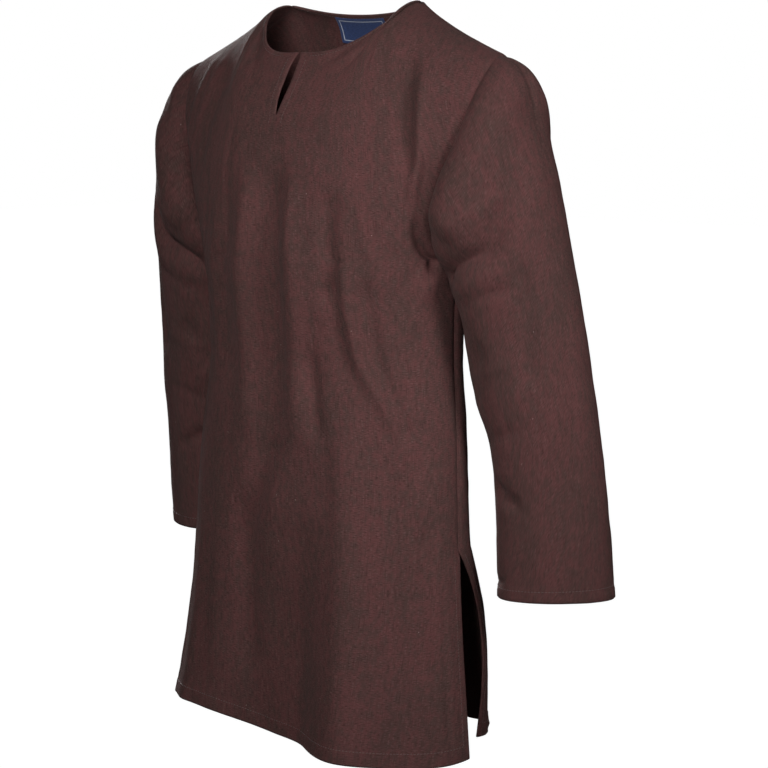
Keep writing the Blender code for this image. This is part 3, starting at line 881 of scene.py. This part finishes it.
print("hem:", HEM_DEPTH, "m deep,", round(CLOTH + 2 * HEM_EXTRA, 4), "m thick")

# %% [markdown]
# Now the two panels are laid out. Folds fade near the seams, because the seams hold the cloth
# there, and run free through the hem. The small creases fade at the side seams alone, so that some
# can start at the neckline. Each point also gets a direction out of the cloth, which says where the
# inside lies. Along the seams the front's and the back's directions are made the same, so that the
# two walls meet without a crack.

# %% The front and the back
FRONT_COLUMNS = 148
BACK_COLUMNS = 112
SKIRT_ROWS = 122
FRONT_YOKE_ROWS = 66
BACK_YOKE_ROWS = 58
NECK_SLIT_BOTTOM = 0.605
FOLD_FADE = 0.12
Piece = namedtuple("Piece", "points directions thickness wear across")


def level(directions):
    """A seam edge's directions turned straight, so that front and back meet face to face."""
    return unit(directions * np.array([1.0, 0.0, 1.0]))


def panel(columns, rises, is_front, folds, creases):
    """One panel with its folds, hems and seams."""
    across = panel_columns(columns)
    points = panel_points(across, rises, SKIRT_ROWS, is_front)
    facing = 1.0 if is_front else -1.0
    below_seam = np.concatenate([np.ones(SKIRT_ROWS + 1), ease((1.0 - rises) / FOLD_FADE)])
    inside_seams = ease((1.0 - np.abs(across)) / FOLD_FADE)
    free = np.outer(below_seam, inside_seams)
    places = across * HALF_CUT
    lift = fold_lift(places, points[:, :, 2], folds) * free
    lift += fold_lift(places, points[:, :, 2], creases) * inside_seams
    lift += wobble(points) * free
    points = moved(points, outward(points), facing * lift)
    edge_lift, wear = panel_edges(points, across)
    directions = facing * outward(points)
    points = moved(points, directions, edge_lift)
    thickness = CLOTH + 2.0 * np.clip(edge_lift, 0.0, None)
    on_seam = np.zeros(points.shape[:2], bool)
    on_seam[:, [0, -1]] = True
    on_seam[-1] = np.abs(across) > NECK_SHARE - FOLD_FADE
    directions[on_seam] = level(directions[on_seam])
    return Piece(points, directions, thickness, wear, across)


front_rises = panel_rises(FRONT_YOKE_ROWS)
slit_row = SKIRT_ROWS + 1 + int(np.argmin(np.abs(front_rises - NECK_SLIT_BOTTOM)))
front = panel(FRONT_COLUMNS, front_rises, True, FRONT_FOLDS, FRONT_CREASES)
back_rises = panel_rises(BACK_YOKE_ROWS)
back = panel(BACK_COLUMNS, back_rises, False, BACK_FOLDS, BACK_CREASES)
print("front grid:", front.points.shape[:2], "back grid:", back.points.shape[:2])

# %% [markdown]
# A sleeve is sewn to the armhole, so its first ring is the armhole's own edge: down the front and
# up the back. From there the rings leave that shape over the first twenty centimetres and run to
# the cuff, through the table's rings.

# %% The sleeve's rings
SLEEVE_RINGS = 150
RING_SPACING = 1.10
SLEEVE_FULLNESS = 2.15
ARMHOLE_BLEND = 0.20
Ring = namedtuple("Ring", "outer_x outer_y outer_z inner_x inner_y inner_z half_depth")
SLEEVE = table(Ring, [
    (233, 52, -57.5, 186, 30, -300, 66),
    (260, 48, -71, 193, 30, -303, 70),
    (276, 46, -94, 197, 31, -313, 72),
    (284, 50, -138, 199, 33, -337, 71),
    (302, 60, -205, 199, 36, -369, 68),
    (314, 76, -285, 200, 37, -410, 62),
    (325, 94, -380, 206, 36, -462, 55),
    (332, 112, -480, 226, 40, -530, 50),
    (338, 126, -580, 232, 43, -605, 48),
    (343, 137, -708, 234, 47, -708, 46),
])


def armhole_loop(front_part, back_part):
    """The left armhole's edge, from the shoulder down the front and up the back."""
    down_front = front_part[SKIRT_ROWS:, -1][::-1]
    up_back = back_part[SKIRT_ROWS:, -1]
    loop = np.concatenate([down_front, up_back[1:-1]])
    loop[0] = (down_front[0] + up_back[-1]) / 2
    loop[len(down_front) - 1] = (down_front[-1] + up_back[0]) / 2
    return loop


def sleeve_turns():
    """How far round the ring each point of the armhole lies, from how high it lies."""
    rises = np.concatenate([front_rises[::-1], [0.0], back_rises[:-1]])
    level_part = rounded(rises * math.pi / 2, YOKE_FULLNESS)[0] * 2 - 1
    turn = np.arccos(np.sign(level_part) * np.abs(level_part)**(SLEEVE_FULLNESS / 2))
    turn[FRONT_YOKE_ROWS + 1:] = 2 * math.pi - turn[FRONT_YOKE_ROWS + 1:]
    return turn


def sleeve_points(armhole, turn):
    """The left sleeve's smooth rings, and how far each lies from the armhole."""
    rings = np.array(SLEEVE)
    knots = run_length(rings[:, :3])
    stations = knots[-1] * np.linspace(0.0, 1.0, SLEEVE_RINGS)**RING_SPACING
    sine, cosine = rounded(turn, SLEEVE_FULLNESS)
    loops = []
    for ring in flow(stations, knots, rings):
        outer, inner, half_depth = ring[:3], ring[3:6], ring[6]
        half = (outer - inner) / 2
        forward = np.array([half[1], -half[0], 0.0]) / np.hypot(half[0], half[1])
        centre = (outer + inner) / 2
        loops.append(centre + np.outer(cosine, half) + np.outer(sine, forward) * half_depth)
    points = np.array(loops)
    points += (armhole - loops[0]) * (1.0 - ease(stations / ARMHOLE_BLEND))[:, None, None]
    return points, stations


print("sleeve rings in the table:", len(SLEEVE), "and in the grid:", SLEEVE_RINGS)

# %% [markdown]
# The sleeve gets its folds and its cuff's hem, and rises from the armhole's seam. There it shares
# the panels' directions, so that the walls meet. The right sleeve is the left one mirrored, with
# its cuff pushed up a little, as in the photograph.

# %% Fold the sleeves
MIRROR = np.array([-1.0, 1.0, 1.0])
FOLD_START = 0.09
SLEEVE_ROUND = 0.50
CUFF_DEPTH = 0.016
PUSH_UP_FROM = -0.35
PUSH_UP_TO = -0.68
PUSH_UP = 0.030


def folded_sleeve(armhole):
    """The left sleeve with its folds, its creases and the cuff's hem."""
    turn = sleeve_turns()
    points, stations = sleeve_points(armhole, turn)
    places = turn / (2 * math.pi) * SLEEVE_ROUND
    started = ease(stations / FOLD_START)[:, None]
    lift = fold_lift(places, points[:, :, 2], SLEEVE_FOLDS + SLEEVE_CREASES)
    lift = (lift + wobble(points)) * started
    points = moved(points, outward(points, True), lift)
    from_armhole = travelled(points, 0)
    from_cuff = from_armhole[-1] - from_armhole
    edge_lift = hem_lift(from_cuff, CUFF_DEPTH)
    wear = np.exp(-(from_cuff / WEAR_WIDTH)**2)
    rise_from_seam = SEAM_DIP + seam_dip(from_armhole)
    rise_from_seam += tuck(armhole[:, 2]) * (1.0 - np.exp(-(from_armhole / TUCK_WIDTH)**2))
    rise_from_seam *= 1.0 - ease(from_armhole / ARMHOLE_BLEND)
    points = moved(points, outward(points, True), edge_lift + rise_from_seam)
    return points, CLOTH + 2.0 * np.clip(edge_lift, 0.0, None), wear


armhole = armhole_loop(front.points, back.points)
left_points, sleeve_thickness, sleeve_wear = folded_sleeve(armhole)
left_directions = outward(left_points, True)
panels_out = unit(armhole_loop(front.directions, back.directions))
shared = unit(panels_out + left_directions[0])
left_directions[0] = shared
front.directions[SKIRT_ROWS:, -1] = shared[:FRONT_YOKE_ROWS + 1][::-1]
back.directions[SKIRT_ROWS:, -1] = np.concatenate([shared[FRONT_YOKE_ROWS:], shared[:1]])
for part in (front, back):
    part.directions[SKIRT_ROWS:, 0] = part.directions[SKIRT_ROWS:, -1] * MIRROR
right_points = left_points * MIRROR
pushed = ease((PUSH_UP_FROM - right_points[:, :, 2]) / (PUSH_UP_FROM - PUSH_UP_TO))
right_points[:, :, 2] += PUSH_UP * pushed
right_directions = -outward(right_points, True)
right_directions[0] = shared * MIRROR
print("sleeve grid:", left_points.shape[:2])

# %% [markdown]
# The neck slit is a cut down the middle of the front. The cloth on each side of it moves away most
# half way up, less at the neckline, where the hem holds it, and not at all at the lower end.

# %% Open the neck slit
SLIT_EDGE = 0.006
SLIT_CURVE = 0.8
SLIT_AT_NECK = 0.35
SLIT_OPENING = 0.0075
NECK_SLIT_PULL = 0.10
LIP_RISE = GROOVE * 1.2
LIP_WEAR = 0.8
SIDEWAYS = np.array([1.0, 0.0, 0.0])


def slit_pull():
    """How far each point of the front moves aside."""
    rows = np.arange(len(front.points))
    part = np.clip((rows - slit_row) / (len(rows) - 1 - slit_row), 0.0, 1.0)
    opened = SLIT_AT_NECK * part + (1.0 - SLIT_AT_NECK) * np.sin(math.pi * part**SLIT_CURVE)
    return SLIT_OPENING * np.outer(opened, np.exp(-(front.across / NECK_SLIT_PULL)**2))


middle = FRONT_COLUMNS // 2
pull = slit_pull()
beside_slit = np.exp(-(front.across * HALF_CUT / SLIT_EDGE)**2)
lips = np.outer(np.arange(len(front.points)) > slit_row, beside_slit)
front_points = moved(front.points, front.directions, LIP_RISE * lips)
right_half = moved(front_points, SIDEWAYS, -pull)[:, :middle + 1]
left_half = moved(front_points, SIDEWAYS, pull)[:, middle:]
slit_depth = front.points[-1, middle, 2] - front.points[slit_row, middle, 2]
print("slit:", round(float(slit_depth), 3), "m deep")

# %% [markdown]
# A sheet is made from grids. Their points are numbered row by row, and a free edge is one that only
# one face has. Each point keeps its place on the flat cloth, in metres, which the weave follows.

# %% Grids, faces and edges
def grid_numbers(shape, first=0):
    """Point numbers of a grid, row by row."""
    return np.arange(first, first + shape[0] * shape[1]).reshape(shape)


def grid_faces(numbers, wrap):
    """Faces round each four neighbours, pointing out of the cloth."""
    right = np.roll(numbers, -1, axis=1) if wrap else numbers[:, 1:]
    left = numbers if wrap else numbers[:, :-1]
    return np.stack([left[:-1], right[:-1], right[1:], left[1:]], axis=-1).reshape(-1, 4)


def free_edges(faces):
    """The directed edges that only one face has."""
    edges = np.concatenate([faces[:, [corner, (corner + 1) % 4]] for corner in range(4)])
    known = {(a, b) for a, b in edges.tolist()}
    return np.array([(a, b) for a, b in edges.tolist() if (b, a) not in known])


def sheet_area(points, faces):
    """The area of one layer of a sheet."""
    corner = points[faces]
    first = np.cross(corner[:, 1] - corner[:, 0], corner[:, 2] - corner[:, 0])
    second = np.cross(corner[:, 2] - corner[:, 0], corner[:, 3] - corner[:, 0])
    return float((np.linalg.norm(first, axis=1) + np.linalg.norm(second, axis=1)).sum() / 2)


def cloth_places(points, centre_column):
    """Each point's place on the flat cloth, in metres from the middle of the hem."""
    along = travelled(points, 0)
    across = travelled(points, 1)
    return np.stack([across - across[:, centre_column:centre_column + 1], along], axis=-1)


print("a grid of 3 by 3 points has", len(grid_faces(grid_numbers((3, 3)), False)), "faces")

# %% [markdown]
# A sheet is made from its grids in one go: the outer layer, the inner layer at the cloth's
# thickness, and a rounded rim along every free edge. The middle line of the rim stands out by half
# the thickness, which is what makes a folded edge look soft. The places on the flat cloth become a
# UV map and the wear an attribute.

# %% Make a sheet of cloth
RIM_BULGE = 0.5
TINY = 1e-12


def add_piece(name, points, faces, material):
    """A new piece from its points and faces."""
    mesh = bpy.data.meshes.new(name)
    mesh.from_pydata(points.tolist(), [], faces)
    mesh.materials.append(material)
    mesh.shade_smooth()
    piece = bpy.data.objects.new(name, mesh)
    bpy.context.scene.collection.objects.link(piece)
    return piece


def add_sheet(name, outer, inner, faces, places, wear, material):
    """A closed sheet from its outer and inner points and its outer faces."""
    outer, inner = outer.reshape(-1, 3), inner.reshape(-1, 3)
    places, wear = places.reshape(-1, 2), wear.ravel()
    count = len(outer)
    start, end = free_edges(faces).T
    rim = np.unique([start, end])
    rim_number = np.full(count, -1)
    rim_number[rim] = np.arange(len(rim)) + 2 * count
    outside = unit(np.cross(outer[end] - outer[start], (outer - inner)[start]) + TINY)
    off = np.zeros_like(outer)
    np.add.at(off, start, outside)
    np.add.at(off, end, outside)
    thick = np.linalg.norm((outer - inner)[rim], axis=1, keepdims=True)
    rounding = (outer[rim] + inner[rim]) / 2 + unit(off[rim] + TINY) * thick * RIM_BULGE
    all_faces = np.concatenate([
        faces,
        faces[:, ::-1] + count,
        np.stack([end, start, rim_number[start], rim_number[end]], axis=1),
        np.stack([rim_number[end], rim_number[start], start + count, end + count], axis=1),
    ])
    piece = add_piece(name, np.concatenate([outer, inner, rounding]), all_faces.tolist(), material)
    layer = piece.data.uv_layers.new(name="cloth")
    place_of = np.concatenate([places, places, places[rim]])
    layer.data.foreach_set("uv", place_of[all_faces.ravel()].ravel())
    worn = piece.data.attributes.new("wear", "FLOAT", "POINT")
    worn.data.foreach_set("value", np.concatenate([wear, wear, wear[rim]]).astype(np.float32))
    print(name, "faces:", len(all_faces), "area:", round(sheet_area(outer, faces), 4), "m2")
    return piece


print("rim bulge:", RIM_BULGE)

# %% [markdown]
# The front comes first. Its two halves share their points below the slit, and each has its own lip
# beside it, so the slit is a real opening with rounded edges.

# %% The front piece
def both_halves(grid):
    """The front's right and left halves one after the other, each with the middle column."""
    halves = grid[:, :middle + 1], grid[:, middle:]
    return np.concatenate([half.reshape(-1, *grid.shape[2:]) for half in halves])


def build_front():
    """The front panel with its neck slit."""
    rows = len(front_points)
    right_numbers = grid_numbers((rows, middle + 1))
    left_numbers = grid_numbers((rows, FRONT_COLUMNS - middle + 1), first=right_numbers.size)
    left_numbers[:slit_row + 1, 0] = right_numbers[:slit_row + 1, -1]
    faces = np.concatenate([grid_faces(right_numbers, False), grid_faces(left_numbers, False)])
    outer = np.concatenate([right_half.reshape(-1, 3), left_half.reshape(-1, 3)])
    inner = moved(outer, both_halves(front.directions), -both_halves(front.thickness))
    places = both_halves(cloth_places(front.points, middle))
    wear = both_halves(np.clip(front.wear + LIP_WEAR * lips, 0.0, 1.0))
    used, faces = np.unique(faces, return_inverse=True)
    faces = faces.reshape(-1, 4)
    return add_sheet("front_cloth", outer[used], inner[used], faces, places[used], wear[used], BROWN)


front_cloth = build_front()

# %% [markdown]
# The back and the sleeves are single grids. The back's columns run the other way round seen from
# behind, and the right sleeve is a mirror image, so the order of their corners is turned.

# %% The back piece and the sleeves
def build_back():
    """The back panel."""
    inner = moved(back.points, back.directions, -back.thickness)
    faces = grid_faces(grid_numbers(back.points.shape[:2]), False)[:, ::-1]
    places = cloth_places(back.points, BACK_COLUMNS // 2)
    return add_sheet("back_cloth", back.points, inner, faces, places, back.wear, BROWN)


def build_sleeve(name, points, directions, flipped):
    """One sleeve: a tube whose places on the cloth run round it without a jump."""
    faces = grid_faces(grid_numbers(points.shape[:2]), True)
    faces = faces[:, ::-1] if flipped else faces
    inner = moved(points, directions, -sleeve_thickness)
    from_inside = np.abs(math.pi - sleeve_turns()) / math.pi * SLEEVE_ROUND / 2
    places = np.stack([np.broadcast_to(from_inside, points.shape[:2]), -travelled(points, 0)], axis=-1)
    return add_sheet(name, points, inner, faces, places, sleeve_wear, BROWN)


back_cloth = build_back()
left_sleeve = build_sleeve("sleeve_left_cloth", left_points, left_directions, False)
right_sleeve = build_sleeve("sleeve_right_cloth", right_points, right_directions, True)

# %% [markdown]
# The label lies against the inside of the back, just below the neckline. It is made from the back's
# own inner points, moved in, so it follows that cloth exactly.

# %% The label
LABEL_DROP = 0.004
LABEL_SIDE = -0.0125
LABEL_GAP = 0.0004
LABEL_THICKNESS = 0.0008
LABEL_COLUMNS = 48
LABEL_ROWS = 24
LABEL_CURL = 0.0012


def build_label():
    """The small woven label, its lower corners a little off the cloth."""
    inside = moved(back.points, back.directions, -(back.thickness + LABEL_GAP))
    downwards = inside[::-1]
    depth = travelled(downwards[:, BACK_COLUMNS // 2][:, None], 0)[:, 0]
    across = np.linspace(-LABEL_WIDTH / 2, LABEL_WIDTH / 2, LABEL_COLUMNS + 1)
    up = np.linspace(-LABEL_HEIGHT / 2, LABEL_HEIGHT / 2, LABEL_ROWS + 1)
    rows = []
    for place in np.interp(LABEL_DROP + LABEL_HEIGHT / 2 - up, depth, np.arange(len(depth))):
        upper = int(place)
        line = downwards[upper] * (upper + 1 - place) + downwards[upper + 1] * (place - upper)
        rows.append(along_line(LABEL_SIDE + across, line[:, 0], line))
    against = np.array(rows)
    inwards = outward(against)
    curl = np.outer(ease(-up / (LABEL_HEIGHT / 2)), np.abs(across / (LABEL_WIDTH / 2))**3) * LABEL_CURL
    shown = moved(against, inwards, LABEL_THICKNESS + curl)
    hidden = moved(against, inwards, curl)
    places = np.stack(np.meshgrid(across, up), axis=-1)
    faces = grid_faces(grid_numbers(shown.shape[:2]), False)
    return add_sheet("neck_label", shown, hidden, faces, places, np.zeros_like(curl), LABEL_BLUE)


neck_label = build_label()

# %% [markdown]
# Stitches are modelled, not painted. One stitch is a short six-sided rod with pointed ends, made
# once with Blender's own cylinder tool. Copies of it are laid along lines on the cloth, one every
# few millimetres, each half sunk into its groove, and all of a piece are joined into one mesh.

# %% One stitch
STITCH_LENGTH = 0.0031
STITCH_PITCH = 0.0041
STITCH_RADIUS = 0.00034
STITCH_BODY = 0.6
STITCH_SIDES = 6


def model_stitch():
    """The points and faces of one stitch along X, with its middle at the origin."""
    bpy.ops.object.select_all(action="DESELECT")
    bpy.ops.mesh.primitive_cylinder_add(vertices=STITCH_SIDES, radius=STITCH_RADIUS,
                                        depth=STITCH_LENGTH * STITCH_BODY, end_fill_type="TRIFAN",
                                        rotation=(0.0, math.pi / 2, 0.0))
    stitch = bpy.context.object
    bpy.ops.object.transform_apply(location=True, rotation=True, scale=True)
    points = np.array([vertex.co for vertex in stitch.data.vertices])
    tips = np.hypot(points[:, 1], points[:, 2]) < STITCH_RADIUS / 2
    points[tips, 0] = np.sign(points[tips, 0]) * STITCH_LENGTH / 2
    faces = [list(face.vertices) for face in stitch.data.polygons]
    bpy.data.objects.remove(stitch, do_unlink=True)
    return points, faces


STITCH_POINTS, STITCH_FACES = model_stitch()
print("one stitch:", len(STITCH_POINTS), "points,", len(STITCH_FACES), "faces")

# %% [markdown]
# A line of stitches follows a row or a column of the cloth's grid. Each stitch is turned to lie
# along the line and flat on the cloth, so it needs the line's direction and the cloth's. Every line
# shows on both sides of the cloth.

# %% Lines of stitches
LOOK_AHEAD = 0.001


def stitch_line(line, normals):
    """Places and turned axes for stitches along a line of points."""
    length = run_length(line)
    at = np.arange(STITCH_PITCH / 2, length[-1] - STITCH_PITCH / 2, STITCH_PITCH)
    centres = along_line(at, length, line)
    along = unit(along_line(at + LOOK_AHEAD, length, line) - centres)
    side = unit(np.cross(along_line(at, length, normals), along))
    return centres, along, side, np.cross(along, side)


def sew(name, lines):
    """One joined mesh of stitches along several lines, each a pair of points and normals."""
    points, faces = [], []
    for line, normals in lines:
        for place, along, side, up in zip(*stitch_line(line, normals)):
            first = len(points) * len(STITCH_POINTS)
            points.append(place + STITCH_POINTS @ np.array([along, side, up]))
            faces += [[corner + first for corner in face] for face in STITCH_FACES]
    print(name, "stitches:", len(points))
    return add_piece(name, np.concatenate(points), faces, THREAD_BROWN)


def both_sides(points, directions, thickness):
    """The same line on the outside and on the inside of the cloth."""
    return [(points, directions), (moved(points, directions, -thickness), -directions)]


print("stitches a metre:", round(1 / STITCH_PITCH))

# %% [markdown]
# A panel is stitched along its hem, up its slit edges and round the neckline. On the front, the
# neckline's stitches stop at the neck slit and turn down along its lips.

# %% Stitch the panels
def panel_lines(part, points, neck):
    """Stitch lines of a panel: hem, slit edges and neckline."""
    slit_top = int(np.argmin(np.abs(part.points[:SKIRT_ROWS, 0, 2] - SIDE_SLIT_TOP)))
    hem_row = HEM_ROWS - 1
    lines = []
    for rows, columns in (
        (hem_row, slice(SLIT_COLUMNS, -SLIT_COLUMNS)),
        (slice(hem_row, slit_top), SLIT_COLUMNS),
        (slice(hem_row, slit_top), -SLIT_COLUMNS - 1),
        *[(-NECK_ROWS, columns) for columns in neck],
    ):
        at = (rows, columns)
        lines += both_sides(points[at], part.directions[at], part.thickness[at])
    return lines


on_neckline = np.flatnonzero(np.abs(back.across) < NECK_SHARE)
back_stitches = sew("back_stitches", panel_lines(back, back.points, [on_neckline]))
whole_front = front_points.copy()
whole_front[:, :middle] = right_half[:, :-1]
whole_front[:, middle + 1:] = left_half[:, 1:]
neck_columns = np.flatnonzero(np.abs(front.across) < NECK_SHARE)
lip_offset = int(round(SLIT_EDGE / (2 * HALF_CUT / FRONT_COLUMNS)))
front_lines = panel_lines(front, whole_front, [neck_columns[neck_columns < middle - lip_offset],
                                               neck_columns[neck_columns > middle + lip_offset]])
for column in (middle - lip_offset, middle + lip_offset):
    at = (slice(slit_row - 2, len(whole_front) - NECK_ROWS), column)
    front_lines += both_sides(whole_front[at], front.directions[at], front.thickness[at])
front_stitches = sew("front_stitches", front_lines)

# %% [markdown]
# The cuffs have one round line each, at the depth of their hem.

# %% Cuff stitches
def cuff_line(points, directions):
    """The stitch line round a cuff, closed."""
    from_cuff = travelled(points[::-1], 0)[:, 0]
    ring = len(points) - 1 - int(np.argmin(np.abs(from_cuff - CUFF_DEPTH + STITCH_INSET)))
    return both_sides(*[np.append(grid[ring], grid[ring][:1], axis=0)
                        for grid in (points, directions, sleeve_thickness)])


left_stitches = sew("sleeve_left_stitches", cuff_line(left_points, left_directions))
right_stitches = sew("sleeve_right_stitches", cuff_line(right_points, right_directions))

# %% [markdown]
# Last, each piece is tied to the model and rides on the one body. The cloth pieces and the label
# stand for their solids, which are hidden.

for piece, node_name, slot_name in (
    (front_cloth, "front", "brown_cloth"),
    (back_cloth, "back", "brown_cloth"),
    (left_sleeve, "sleeve_left", "brown_cloth"),
    (right_sleeve, "sleeve_right", "brown_cloth"),
    (neck_label, "label", "blue_label"),
):
    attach(piece, "root")
    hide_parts(node_name)
for piece in (front_stitches, back_stitches, left_stitches, right_stitches):
    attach(piece, "root")
